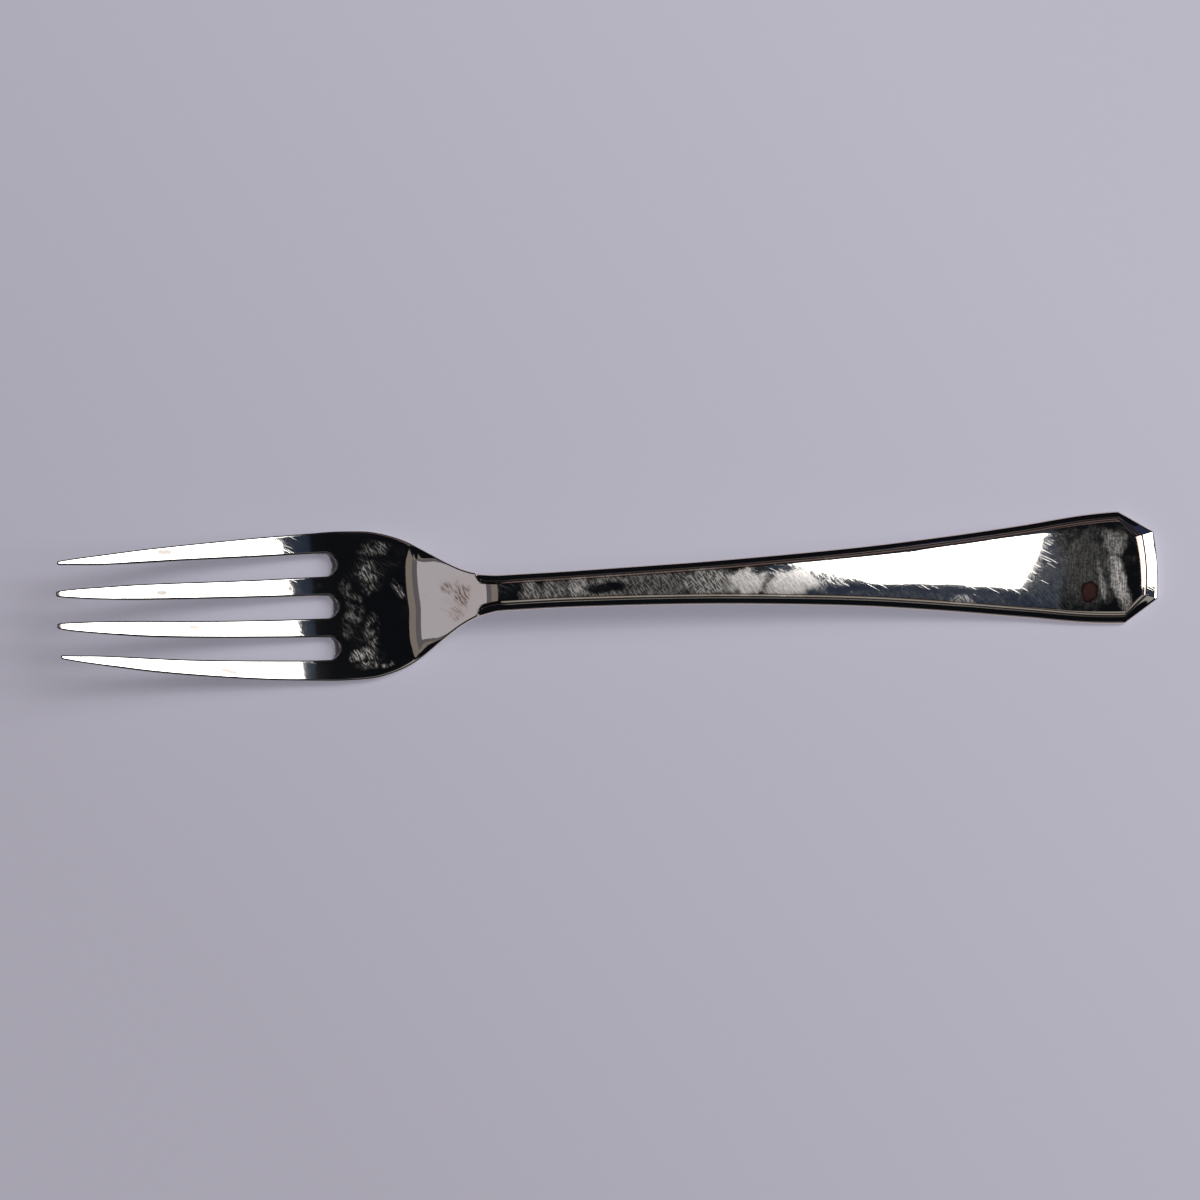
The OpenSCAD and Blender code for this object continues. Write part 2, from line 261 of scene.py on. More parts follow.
def run_of(slopes, places):
    """Share of the whole rise that is reached at these places, for a table of slopes."""
    steps = 2000
    shares = np.linspace(0, 1, steps + 1)
    slopes = curve(slopes, shares)
    heights = np.concatenate([[0], np.cumsum((slopes[1:] + slopes[:-1]) / 2)])
    return np.interp(places, shares, heights / heights[-1])


def plain_climb(s):
    return ARCH_RISE * run_of(CLIMB_SLOPES, (s - HEEL_PLACE) / ARCH_LENGTH)


def plain_dish(s):
    head = DISH_DEPTH * mix(TIP_DISH_SHARE, 1, ease(s / TINE_LENGTH))
    neck = DISH_DEPTH * (1 - ease((s - TINE_LENGTH) / (BORDER_START - TINE_LENGTH)))
    return np.where(s < TINE_LENGTH, head, neck)


sweep = softened(plain_sweep, SIDE_SOFTENING)
climb = softened(plain_climb, BEND_SOFTENING)
dish = softened(plain_dish, SIDE_SOFTENING)
thickness = softened(lambda s: curve(THICKNESS_POINTS, s), SIDE_SOFTENING)


def sheet(s, y):
    """The plain underside. The neck's first bend is a little uneven, and its sides fall away."""
    first, last = BEND_SHIFT_PLACES
    shift = curve(BEND_SHIFTS, y) * (1 - ease((s - first) / (last - first)))
    first, last = NECK_FALL_PLACES
    out = np.clip(abs(y), NECK_FALL_START, NECK_FALL_END) - NECK_FALL_START
    past = np.clip(abs(y) - NECK_FALL_END, 0, None)
    fall = NECK_FALL * (out**2 + 2 * out * past) * ease((s - first) / (last - first))
    return sweep(s) + climb(s - shift) - REST_FLAT + dish(s) * (y / HEAD_HALF_WIDTH) ** 2 - fall


def quarter_round(edge, radius):
    """Drop of a rounded edge at this distance from it."""
    inward = np.clip(radius - edge, 0, radius)
    return radius - np.sqrt(radius**2 - inward**2)


def front(plan):
    """Points of the front over plan points, each a place along, a place across and a distance to the edge."""
    s, y, edge = np.moveaxis(plan, -1, 0)
    start = np.clip((s - BORDER_START) / BORDER_RISE_LENGTH, 0, 1)
    begun = np.sqrt(1 - (1 - start) ** 2)
    share = edge / SIDE_BORDER / np.maximum(begun, LEAST_BORDER_SHARE)
    border = BORDER_DROP * ease(start / BORDER_STEP_SHARE) * curve(BORDER_PROFILE, share)
    panel_half = np.maximum(half_width(np.minimum(s, CORNER_PLACE)) - SIDE_BORDER, LEAST_PANEL_HALF_WIDTH)
    crown = PANEL_CROWN * np.clip(1 - (y / panel_half) ** 2, 0, 1)
    crown = crown * np.clip(panel_half / FULL_CROWN_HALF_WIDTH, 0, 1) ** 2
    crown = crown * ease((s - BORDER_START) / CROWN_START_LENGTH)
    rounding = quarter_round(edge, EDGE_RADIUS) * mix(1, HANDLE_EDGE_SHARE, begun)
    roll = ROLL_DEPTH * np.clip(1 - edge / ROLL_WIDTH, 0, 1) ** 2
    roll = roll * ease((s - TINE_LENGTH) / ROLL_WIDTH / 3) * (1 - begun)
    z = sheet(s, y) + thickness(s) + crown - border - rounding - roll
    return np.stack([s, y, z], -1)


def root_lean(s, y):
    """How much less far a slot's root reaches on the back than on the front."""
    past_root = np.clip(s - SLOT_ROOT, 0, None)
    lean = 0
    for slot in (-1, 0, 1):
        reach = np.hypot(past_root, y - slot * SLOT_SPACING)
        near = 1 - ease((reach - SLOT_RADIUS) / ROOT_LEAN_REACH)
        lean = lean + ROOT_LEAN * near * past_root / np.maximum(reach, SLOT_RADIUS)
    return lean


def back(plan):
    s, y, edge = np.moveaxis(plan, -1, 0)
    s = s - root_lean(s, y)
    z = np.maximum(sheet(s, y) + quarter_round(edge, BACK_RADIUS), 0)
    return np.stack([s, y, z], -1)


# Rows and columns of the plan

# Distances inside the edge: points across its rounding, and one just inside it that keeps the front flat
RIM_INSIDE = 1.15 * EDGE_RADIUS
RIM_ANGLES = np.radians([0, 22.5, 45, 67.5, 90])
RIM = np.append(EDGE_RADIUS * (1 - np.cos(RIM_ANGLES)), RIM_INSIDE)
TINE_COLUMNS = 18
TINE_ROWS = 63
TIP_ROWS = [0.45, 0.65]
NECK_ROWS = 50
BORDER_RISE_ROWS = 17
HANDLE_ROWS = 150
PANEL_STEPS = 36
END_PANEL_SHARES = np.linspace(0, 1, 9)
WALL_SHARES = (0, 1 / 3, 2 / 3, 1)
BORDER_SHARES = np.concatenate([
    RIM / SIDE_BORDER,
    [0.3, 0.43, 0.52, 0.56, 0.59, 0.61, 0.63, 0.65, 0.665, 0.68, 0.72, 0.78, 0.84, 0.9, 0.96, 1],
])
ROOT_ANGLES = np.radians(np.linspace(0, 90, 15))
MERGE_PLACE = SLOT_ROOT + SLOT_RADIUS + RIM_INSIDE


def edge_distance(s, y):
    """Distance to the nearest edge, outside or in a slot."""
    outer = (half_width(s) - abs(y)) / slant(s)
    spacing = tine_width(np.minimum(s, SLOT_ROOT)) + open_slot(s)
    past_root = np.clip(s - SLOT_ROOT, 0, None)
    slots = [np.hypot(past_root, y - side * spacing) - open_slot(s) / 2 for side in (-1, 0, 1)]
    return np.clip(np.minimum(outer, np.minimum.reduce(slots)), 0, None)


def side_column(s, edge, side):
    """Plan points along the outer edge, at a distance inside it."""
    return np.stack([s, side * (half_width(s) - edge * slant(s))], -1)


def tine_plan(tine):
    """Plan of one tine, from its tip to the roots beside it: rows along it, columns across."""
    rows = np.concatenate([RIM, TIP_ROWS, np.linspace(TIP_ROUND_LENGTH, SLOT_ROOT, TINE_ROWS)])
    roots = SLOT_ROOT + (SLOT_RADIUS + RIM_INSIDE) * np.sin(ROOT_ANGLES[1:])
    s_all = np.concatenate([rows, roots])
    low_rim = []
    high_rim = []
    for edge in RIM:
        if tine == 0:
            low_rim.append(side_column(s_all, edge, -1))
        else:
            low_rim.append(slot_column(rows, edge, tine - 1, 1))
        if tine == 3:
            high_rim.append(side_column(s_all, edge, 1))
        else:
            high_rim.append(slot_column(rows, edge, tine, -1))
    low = low_rim[-1]
    high = high_rim[-1]
    inner = [mix(low, high, k / (TINE_COLUMNS - 1)) for k in range(1, TINE_COLUMNS - 1)]
    plan = np.stack(low_rim + inner + high_rim[::-1], 1)
    plan = np.concatenate([plan, edge_distance(plan[..., 0], plan[..., 1])[..., None]], -1)
    return shaped_tip(plan, len(rows), tine)


def slot_column(rows, edge, slot, side):
    """Plan points along one side of a slot and half round its root, at a distance inside the metal."""
    centre = (slot - 1) * (tine_width(rows) + open_slot(rows))
    straight = np.stack([rows, centre + side * (open_slot(rows) / 2 + edge)], -1)
    radius = SLOT_RADIUS + edge
    angle = ROOT_ANGLES[1:]
    arc_s = SLOT_ROOT + radius * np.sin(angle)
    arc_y = (slot - 1) * SLOT_SPACING + side * radius * np.cos(angle)
    return np.concatenate([straight, np.stack([arc_s, arc_y], -1)])


def shaped_tip(plan, row_count, tine):
    """Narrows the tine at its blunt tip, rounds it and sets the outer tines back."""
    s = plan[:row_count, :, 0]
    y = plan[:row_count, :, 1]
    edge = plan[:row_count, :, 2]
    middle = (y[:, :1] + y[:, -1:]) / 2
    back_share = 1 - np.clip(s / TIP_ROUND_LENGTH, 0, 1)
    narrowing = mix(1, TIP_ROUND_SHARE, 1 - np.sqrt(1 - back_share**2))
    plan[:row_count, :, 1] = middle + (y - middle) * narrowing
    side_gap = np.clip(BACK_RADIUS - edge, 0, None)
    end_gap = np.clip(BACK_RADIUS - s, 0, None)
    corner = BACK_RADIUS - np.minimum(np.hypot(side_gap, end_gap), BACK_RADIUS)
    plan[:row_count, :, 2] = np.where(corner < BACK_RADIUS, corner, edge)
    if tine in (0, 3):
        plan[:row_count, :, 0] += OUTER_TINE_SETBACK * (1 - np.clip(s / SETBACK_LENGTH, 0, 1))
    return plan


def head_row(s):
    """Places across, of every column of the palm and the neck."""
    width = half_width(s) / half_width(MERGE_PLACE)
    rim = half_width(s) - RIM[:-1] * slant(s)
    stops = np.array([-1, 0, 1]) * SLOT_SPACING * width
    last = half_width(s) - RIM_INSIDE * slant(s)
    stops = np.concatenate([[-last], stops, [last]])
    inner = [np.linspace(a, b, TINE_COLUMNS)[:-1] for a, b in zip(stops[:-1], stops[1:])]
    return np.concatenate([-rim, *inner, stops[-1:], rim[::-1]])


def handle_row(s):
    """Places across, of every column of the handle."""
    border = half_width(s) - SIDE_BORDER * BORDER_SHARES * slant(s)
    panel = np.linspace(-border[-1], border[-1], PANEL_STEPS + 1)
    return np.concatenate([-border[:-1], panel, border[:-1][::-1]])


def body_plan():
    """Plan from the slot roots to the corner clips."""
    full_border = BORDER_START + BORDER_RISE_LENGTH
    rows = np.concatenate([
        np.linspace(MERGE_PLACE, BORDER_START, NECK_ROWS),
        np.linspace(BORDER_START, full_border, BORDER_RISE_ROWS)[1:],
        np.linspace(full_border, CORNER_PLACE, HANDLE_ROWS)[1:],
    ])
    lines = []
    for s in rows:
        share = ease((s - MERGE_PLACE) / (BORDER_START - MERGE_PLACE))
        y = mix(head_row(s), handle_row(s), share)
        edge = edge_distance(np.full_like(y, s), y)
        lines.append(np.stack([np.full_like(y, s), y, edge], -1))
    return np.array(lines)


CLIP_STEPS = [0, 0.02, 0.06, 0.14, 0.28, 0.45, 0.62, 0.78, 0.9, 0.97, 1]
END_STEPS = np.concatenate([[0, 0.01, 0.03], np.linspace(0.08, 0.92, 11), [0.97, 0.99, 1]])


def end_line(share):
    """The clipped and bowed outline of the end, at a share of the border's width."""
    half = half_width(CORNER_PLACE) - SIDE_BORDER * share * slant(CORNER_PLACE)
    clip = mix(CORNER_CLIP_DEPTH, PANEL_CLIP_DEPTH, share)
    end = OVERALL_LENGTH - END_BORDER * share
    corner = half - clip
    clip_line = [[mix(CORNER_PLACE, end - END_BOW, t), mix(-half, -corner, t)] for t in CLIP_STEPS]
    across = mix(-corner, corner, END_STEPS[1:-1])
    bowed = np.stack([end - END_BOW * (across / corner) ** 2, across], -1)
    mirrored = [[s, -y] for s, y in clip_line[::-1]]
    line = np.concatenate([clip_line, bowed, mirrored])
    edge = np.full(len(line), SIDE_BORDER * share)
    return np.column_stack([line, edge])


def end_plans():
    """Plans of the border round the end, and of the panel inside it."""
    border = np.array([end_line(share) for share in BORDER_SHARES])
    inner = border[-1]
    last = body_plan()[-1][len(BORDER_SHARES) - 1: 1 - len(BORDER_SHARES)]
    panel = np.array([mix(last, inner, t) for t in END_PANEL_SHARES])
    panel[..., 2] = np.maximum(panel[..., 2], SIDE_BORDER)
    return border, panel


def front_sheet(plan):
    """Points of the front, each with its distance to the edge, share of the thread line, and painted shading:
    painted shade in the groove and on the tips' end faces, and a painted copper line inside the thread.
    """
    s, _, edge = np.moveaxis(plan, -1, 0)
    share = edge / SIDE_BORDER
    begun = ease((s - BORDER_START) / BORDER_RISE_LENGTH)
    thread = begun * np.clip(1 - abs(share - THREAD_SHARE) / THREAD_HALF_SHARE, 0, 1)
    groove = curve(GROOVE_SHADES, share) * begun
    # Painted shade: the end faces of the tips are drawn black
    tip_face = np.clip(1 - (s - TIP_FACE_LENGTH) / TIP_FACE_BLUR, 0, 1)
    return np.concatenate([front(plan), np.stack([edge, thread, np.maximum(groove, tip_face)], -1)], -1)


def back_sheet(plan):
    traits = np.zeros_like(plan)
    traits[..., 0] = SIDE_BORDER
    return np.concatenate([back(plan), traits], -1)


def wall(line, slot_side=False):
    """The side wall under a line of plan points on the edge. The walls at the roots of the slots get painted
    shade, copper at first and black deepest in.
    """
    grid = np.array([mix(front(line), back(line), t) for t in WALL_SHARES])
    # Painted shade on the walls of the slot roots, growing towards the root
    painted_shading = np.clip((grid[..., :1] - SLOT_ROOT + SLOT_RADIUS) / SLOT_RADIUS, 0, 1) * slot_side
    edge = np.full_like(painted_shading, SIDE_BORDER)
    edge[0] = 0
    return np.concatenate([grid, edge, np.zeros_like(painted_shading), painted_shading], -1)


def fork_sheets():
    """Grids of points that cover the whole fork, with shared edges."""
    sheets = []
    for tine in range(4):
        plan = tine_plan(tine)
        sheets += [front_sheet(plan), back_sheet(plan), wall(plan[0])]
        sheets += [wall(plan[:, 0], tine > 0), wall(plan[:, -1], tine < 3)]
    body = body_plan()
    sheets += [front_sheet(body), back_sheet(body), wall(body[:, 0]), wall(body[:, -1])]
    border, panel = end_plans()
    sheets += [front_sheet(border), back_sheet(border)]
    sheets += [front_sheet(panel), back_sheet(panel), wall(border[0])]
    return sheets


WELD_DISTANCE = 0.0004


def grid_faces(rows, columns, start):
    index = start + np.arange(rows * columns).reshape(rows, columns)
    corners = [index[:-1, :-1], index[:-1, 1:], index[1:, 1:], index[1:, :-1]]
    return np.stack(corners, -1).reshape(-1, 4)


def make_fork():
    """One closed mesh from the sheets, with three numbers at each point that the material reads."""
    points = []
    faces = []
    count = 0
    for grid in fork_sheets():
        rows, columns = grid.shape[:2]
        points.append(grid.reshape(-1, 6))
        faces.append(grid_faces(rows, columns, count))
        count += rows * columns
    points = np.concatenate(points)
    places = (points[:, :3] - [OVERALL_LENGTH / 2, 0, 0]) * MM
    mesh = bpy.data.meshes.new("fork_metal")
    mesh.from_pydata(places.tolist(), [], np.concatenate(faces).tolist())
    for column, name in ((3, "edge"), (4, "thread"), (5, "painted_shading")):
        mesh.attributes.new(name, "FLOAT", "POINT").data.foreach_set("value", points[:, column])
    shape = bmesh.new()
    shape.from_mesh(mesh)
    bmesh.ops.remove_doubles(shape, verts=shape.verts, dist=WELD_DISTANCE * MM)
    bmesh.ops.dissolve_degenerate(shape, edges=shape.edges, dist=WELD_DISTANCE * MM)
    bmesh.ops.recalc_face_normals(shape, faces=shape.faces)
    shape.to_mesh(mesh)
    open_edges = sum(1 for edge in shape.edges if len(edge.link_faces) != 2)
    print("fork mesh", len(shape.verts), "points", len(shape.faces), "faces", open_edges, "open edges")
    shape.free()
    mesh.polygons.foreach_set("use_smooth", [True] * len(mesh.polygons))
    fork = bpy.data.objects.new("fork_metal", mesh)
    bpy.context.scene.collection.objects.link(fork)
    return fork


# Materials

STROKE_BLUR = 0.08
RUFFLE_SIZE = 2.2
RUFFLE_STRENGTH = 1.3
SPOT_EDGE = (0.45, 1.05)


class Graph:
    """Builds the nodes of one material. Points are in millimetres, from the fork's middle, in plan."""

    def __init__(self, material):
        self.tree = material.node_tree
        place = self.tree.nodes.new("ShaderNodeTexCoord").outputs["Object"]
        in_plan = (1 / MM, 1 / MM, 0)
        self.point = self.add("ShaderNodeVectorMath", {0: place, 1: in_plan}, operation="MULTIPLY")
        self.along = self.add("ShaderNodeSeparateXYZ", {0: self.point})
        self.uneven = None

    def add(self, kind, inputs, output=0, **settings):
        made = self.tree.nodes.new(kind)
        for name, value in settings.items():
            setattr(made, name, value)
        for key, value in inputs.items():
            if isinstance(value, bpy.types.NodeSocket):
                self.tree.links.new(value, made.inputs[key])
            else:
                made.inputs[key].default_value = value
        return made.outputs[output]

    def trait(self, name):
        """A number that the mesh carries at its points."""
        return self.add("ShaderNodeAttribute", {}, "Fac", attribute_name=name)

    def maths(self, operation, *values):
        return self.add("ShaderNodeMath", dict(enumerate(values)), operation=operation)

    def folded(self, operation, values):
        result, *others = values
        for other in others:
            result = self.maths(operation, result, other)
        return result

    def total(self, *values):
        return self.folded("ADD", values)

    def greatest(self, *values):
        return self.folded("MAXIMUM", values)

    def times(self, *values):
        return self.folded("MULTIPLY", values)

    def without(self, value):
        """1 less a share."""
        return self.maths("SUBTRACT", 1, value)

    def step(self, value, start, end):
        """0 before start, 1 past end, smooth between."""
        inputs = {"Value": value, "From Min": start, "From Max": end}
        return self.add("ShaderNodeMapRange", inputs, interpolation_type="SMOOTHSTEP")

    def turned(self, centre, turn, sizes):
        """The point seen from a centre, turned by degrees and measured in these sizes."""
        inputs = {
            "Vector": self.point,
            "Location": (*centre, 0),
            "Rotation": (0, 0, math.radians(turn)),
            "Scale": (*sizes, sizes[0]),
        }
        return self.add("ShaderNodeMapping", inputs, vector_type="TEXTURE")

    def noise(self, vector, detail=0):
        return self.add("ShaderNodeTexNoise", {"Vector": vector, "Scale": 1.0, "Detail": detail})

    def cloud(self, size, start, end, seed, detail=3):
        return self.step(self.noise(self.turned((seed, -seed), 0, (size, size)), detail), start, end)

    def scratches(self, turn, length, width, start, seed):
        """Thin marks of this length and width, leaning by degrees from +X."""
        field = self.noise(self.turned((seed, seed), turn, (2 * length, 2 * width)))
        return self.step(field, start, start + STROKE_BLUR)

    def spot(self, s, y, long, wide, turn=0, level=1):
        """A soft patch with ragged edges at a place on the fork."""
        if self.uneven is None:
            ruffle = self.noise(self.turned((0, 0), 0, (RUFFLE_SIZE, RUFFLE_SIZE)), 3)
            self.uneven = self.times(self.maths("SUBTRACT", ruffle, 0.5), RUFFLE_STRENGTH)
        seen = self.turned((s - OVERALL_LENGTH / 2, y), turn, (long, wide))
        reach = self.add("ShaderNodeVectorMath", {0: seen}, "Value", operation="LENGTH")
        return self.times(self.without(self.step(self.total(reach, self.uneven), *SPOT_EDGE)), level)

    def spots(self, table):
        return self.greatest(*(self.spot(*row) for row in table))

    def streaked(self, patch, level, *parts):
        """A patch at this level, which each part raises by its share."""
        return self.times(patch, self.total(level, *(self.times(part, share) for part, share in parts)))

    def bump(self, height, depth, **under):
        """Relief of this depth in millimetres, over another relief given as Normal."""
        inputs = {"Strength": 1.0, "Distance": depth * MM, "Height": height, **under}
        return self.add("ShaderNodeBump", inputs)

    def colours(self, share, first, second):
        inputs = {0: share, 6: first, 7: second}
        for key, value in inputs.items():
            if isinstance(value, tuple):
                inputs[key] = (*value, 1)
        return self.add("ShaderNodeMix", inputs, 2, data_type="RGBA")


# Marks on the metal: place along and across, size along and across, turn in degrees and strength
PALM_MARKS = [
    [52.2, -0.5, 1.6, 7, 0, 0.25], [58.2, 10.4, 3.4, 1.9, 10, 0.4], [56.4, 5.8, 2, 4.6, 0, 0.6],
    [53.9, -0.8, 1.9, 4, 0, 0.35], [56.8, -5.3, 1.5, 4.4, 0, 0.5], [55.4, -9.9, 3.4, 2.2, -10, 1],
    [61.9, 2.6, 0.8, 3.2, 33, 0.8], [59.3, -11.3, 1.5, 1, 0, 0.8],
]
SHANK_MARKS = [
    [86.8, 0, 2.4, 2.6, 0, 0.5], [91, 0, 3, 2.6, 0, 0.4], [95.4, 0.3, 2.8, 3, 0, 0.65],
    [101, 0, 7, 3.4, 0, 0.4], [110, 0, 10, 3.6, 0, 0.28], [119, 0, 6, 3.8, 0, 0.5],
    [140, 0.4, 9, 3.4, 12, 0.5],
]
CLEAN_MARK = [101, -0.2, 5.6, 1.4]
SHANK_FILM = [[126.6, -0.5, 4.6, 3, 0, 0.9], [134.5, -1, 6.5, 3, 8, 1], [94.8, 0.4, 1.4, 1.2, 0, 0.4]]
HANDLE_MARKS = [[158, -4.8, 26, 2.4, -3, 0.09], [182, 0, 7, 10, 0, 0.09], [166, -5.2, 3, 1.6, 0, 0.5]]
END_MARKS = [
    [190, 0, 8, 9, 0, 0.14], [195.7, -2.6, 2, 5.8, 8, 1], [195, 4.4, 2.6, 3.4, 20, 0.5],
    [192.4, -2.6, 0.8, 4.6, 6, 0.5],
]
NECK_TARNISH = [
    [73.8, 0.2, 1.9, 2.8, 10, 1], [71.2, 1.8, 2.6, 1.2, -35, 0.7], [72.6, -3, 1.6, 1.8, 0, 0.45],
]
RUST_MARKS = [[189.9, -4.6, 1.7, 2.3, -20, 1]]
DARK_MARKS = [[167.4, -0.8, 0.22, 0.35, 0, 1], [145.8, -2.9, 0.3, 0.15, 0, 0.6]]
SMUDGES = [
    [18.9, 3.2, 1.3, 0.6, 0, 1], [19.7, 10.7, 2.2, 0.8, 0, 0.95], [24.3, -3.2, 1.6, 0.7, 0, 0.95],
    [25.9, -10.4, 1.2, 0.7, 0, 0.9], [30.5, -11.6, 3, 0.8, -14, 0.97], [42.1, 3.6, 0.5, 0.5, 0, 1],
]
WARM_MARK = [74.5, 0, 5, 6, 0, 0.5]

# Strokes in the film: turn in degrees, length, width, value of the noise where they begin, and a seed
STROKES = {
    "falling": (-50, 0.8, 0.14, 0.56, 11),
    "steep": (-68, 0.8, 0.13, 0.565, 23),
    "rising": (38, 0.7, 0.14, 0.58, 37),
    "upright": (84, 1.3, 0.12, 0.545, 51),
    "stray": (-30, 2.2, 0.12, 0.7, 67),
}
# Cloudy fields: size, values of the noise where they begin and are full, a seed and detail
CLOUDS = {
    "grain": (0.5, 0.4, 0.62, 71, 1),
    "palm": (1.6, 0.35, 0.62, 13, 3),
    "anywhere": (14, 0.5, 0.7, 5, 3),
    "thread": (9, 0.35, 0.6, 9, 3),
}
STEEP_SHARE = 0.8
RISING_SHARE = 0.6

# Haze of each place: its level all over, then what the strokes and the grain add
PALM_HAZE = (0.08, 0.75)
HANDLE_HAZE = (0.2, 0.8)
FILM_HAZE = (0.6, 0.4)
END_HAZE = (0.25, 0.4, 0.35)
TARNISH_HAZE = (0.2, 0.8)
LOOSE_HATCH = 0.2
LOOSE_HAZE = 0.25

# Distances inside the edge, and shares of the thread and the painted shading, at which each look begins and
# is full
HAZE_START = (0.6 * SIDE_BORDER, 0.9 * SIDE_BORDER)
WORN_RIM = (0.08, 0.2)
TINE_RIM = (0.19, 0.35)
THREAD_TOP = (0.1, 0.6)
RUST_EDGE = (0, 0.3)
# Painted shade: levels of the painted shading at which it turns black, and copper
BLACK_SHADING = (0.6, 0.95)
BROWN_SHADING = (0.05, 0.5)

THREAD_WEAR = 0.35
RIM_WEAR = 0.6
TINE_RIM_SHADE = 0.9
HAZE_DULLNESS = 0.8
STAIN_DULLNESS = 0.5
SMUDGE_AND_SHADE_DULLNESS = 0.9
POLISH = 0.045
DULL_ROUGHNESS = 0.2
MARK_START = 0.12
MARK_DEPTH = 0.001
WAVE_SIZES = (11, 8)
WAVE_SEED = 3
WAVE_DEPTH = 0.05

PLATE = (0.86, 0.84, 0.80)
FILM = (0.80, 0.765, 0.76)
BRASS = (0.82, 0.60, 0.44)
BROWN = (0.27, 0.16, 0.12)
RUST = (0.07, 0.033, 0.029)
# Copper of the painted shading: the line inside the thread, and the lighter shade in the slot roots
PAINTED_COPPER = (0.21, 0.145, 0.11)
SMUDGE = (0.5, 0.45, 0.41)
# Black of the painted shade: the groove, the tips' end faces, the slot roots and the tines' rims
PAINTED_BLACK = (0.035, 0.032, 0.034)


def worn_silver():
    """Silver plate with a dull film of fine strokes in places, some tarnish, and brass at worn edges. Painted
    shade darkens the tines' rims, the border's groove, the slot roots and the tips' end faces, and a painted
    copper line runs inside the thread.
    """
    material = bpy.data.materials.new("silver_plate")
    material.use_nodes = True
    graph = Graph(material)
    falling, steep, rising, upright, stray = (graph.scratches(*row) for row in STROKES.values())
    grain = graph.cloud(*CLOUDS["grain"])
    hatch = graph.greatest(falling, graph.times(steep, STEEP_SHARE), graph.times(rising, RISING_SHARE))

    palm = graph.times(graph.spots(PALM_MARKS), graph.cloud(*CLOUDS["palm"]))
    shank = graph.times(graph.spots(SHANK_MARKS), graph.without(graph.spot(*CLEAN_MARK)))
    film = graph.spots(SHANK_FILM)
    handle = graph.greatest(shank, graph.spots(HANDLE_MARKS))
    end = graph.spots(END_MARKS)
    loose = graph.greatest(stray, graph.times(hatch, LOOSE_HATCH))
    haze = graph.greatest(
        graph.streaked(palm, PALM_HAZE[0], (graph.greatest(steep, falling), PALM_HAZE[1])),
        graph.streaked(handle, HANDLE_HAZE[0], (hatch, HANDLE_HAZE[1])),
        graph.streaked(film, FILM_HAZE[0], (hatch, FILM_HAZE[1])),
        graph.streaked(end, END_HAZE[0], (upright, END_HAZE[1]), (grain, END_HAZE[2])),
        graph.times(graph.cloud(*CLOUDS["anywhere"]), loose, LOOSE_HAZE),
    )
    edge = graph.trait("edge")
    haze = graph.times(haze, graph.step(edge, *HAZE_START))

    smear = graph.spots(NECK_TARNISH)
    smear = graph.streaked(smear, TARNISH_HAZE[0], (graph.greatest(falling, steep), TARNISH_HAZE[1]))
    tarnish = graph.greatest(smear, graph.spots(DARK_MARKS))
    rust = graph.spots(RUST_MARKS)
    smudge = graph.spots(SMUDGES)
    thread = graph.times(graph.step(graph.trait("thread"), *THREAD_TOP), graph.cloud(*CLOUDS["thread"]))
    rim = graph.without(graph.step(edge, *WORN_RIM))
    tines_end = (TINE_LENGTH - OVERALL_LENGTH / 2, SHOULDER_END - OVERALL_LENGTH / 2)
    tines = graph.without(graph.step(graph.along, *tines_end))
    # Painted shade: a dark line along the tines' rims
    painted_rim_shade = graph.times(graph.without(graph.step(edge, *TINE_RIM)), tines, TINE_RIM_SHADE)
    worn = graph.greatest(thread, graph.spot(*WARM_MARK))
    # Painted shading that the mesh carries: shade in the groove, the slot roots and the tips' end faces, and
    # a copper line inside the thread
    painted_shading = graph.trait("painted_shading")
    black_shade = graph.step(painted_shading, *BLACK_SHADING)

    colour = graph.colours(haze, PLATE, FILM)
    colour = graph.colours(graph.times(worn, THREAD_WEAR), colour, BRASS)
    colour = graph.colours(graph.times(rim, RIM_WEAR), colour, BRASS)
    colour = graph.colours(tarnish, colour, BROWN)
    colour = graph.colours(graph.step(rust, *RUST_EDGE), colour, RUST)
    colour = graph.colours(smudge, colour, SMUDGE)
    # Painted shading: copper where it is light, black where it is strong, and painted shade along the tines'
    # rims
    colour = graph.colours(graph.step(painted_shading, *BROWN_SHADING), colour, PAINTED_COPPER)
    colour = graph.colours(graph.greatest(black_shade, painted_rim_shade), colour, PAINTED_BLACK)

    places = graph.total(MARK_START, handle, palm)
    marks = graph.total(graph.times(hatch, places), graph.times(upright, end), stray)
    waves = graph.noise(graph.turned((WAVE_SEED, WAVE_SEED), 0, WAVE_SIZES), 1)
    relief = graph.bump(marks, MARK_DEPTH)
    relief = graph.bump(waves, WAVE_DEPTH, Normal=relief)
    dull = graph.greatest(
        graph.times(haze, HAZE_DULLNESS),
        graph.times(graph.greatest(tarnish, rust), STAIN_DULLNESS),
        # Smudges, and the painted black shade, are dull
        graph.times(graph.greatest(black_shade, smudge), SMUDGE_AND_SHADE_DULLNESS),
    )

    shader = material.node_tree.nodes["Principled BSDF"]
    link = material.node_tree.links.new
    link(colour, shader.inputs["Base Color"])
    link(graph.without(dull), shader.inputs["Metallic"])
    link(graph.total(POLISH, graph.times(dull, DULL_ROUGHNESS)), shader.inputs["Roughness"])
    link(relief, shader.inputs["Normal"])
    return material


FLOOR_HALF = 4
FLOOR_COLOUR = (0.385, 0.376, 0.445)
FLOOR_ROUGHNESS = 0.6
FLOOR_GLOSS = 0.2
FLOOR_GLOW = (0.185, 0.181, 0.216)
# Painted light: how the floor's glow grows towards +X and +Y
PAINTED_LIGHT_SLOPES = (0.0018, 0.0014, 0)
PAINTED_LIGHT_RANGE = 0.25


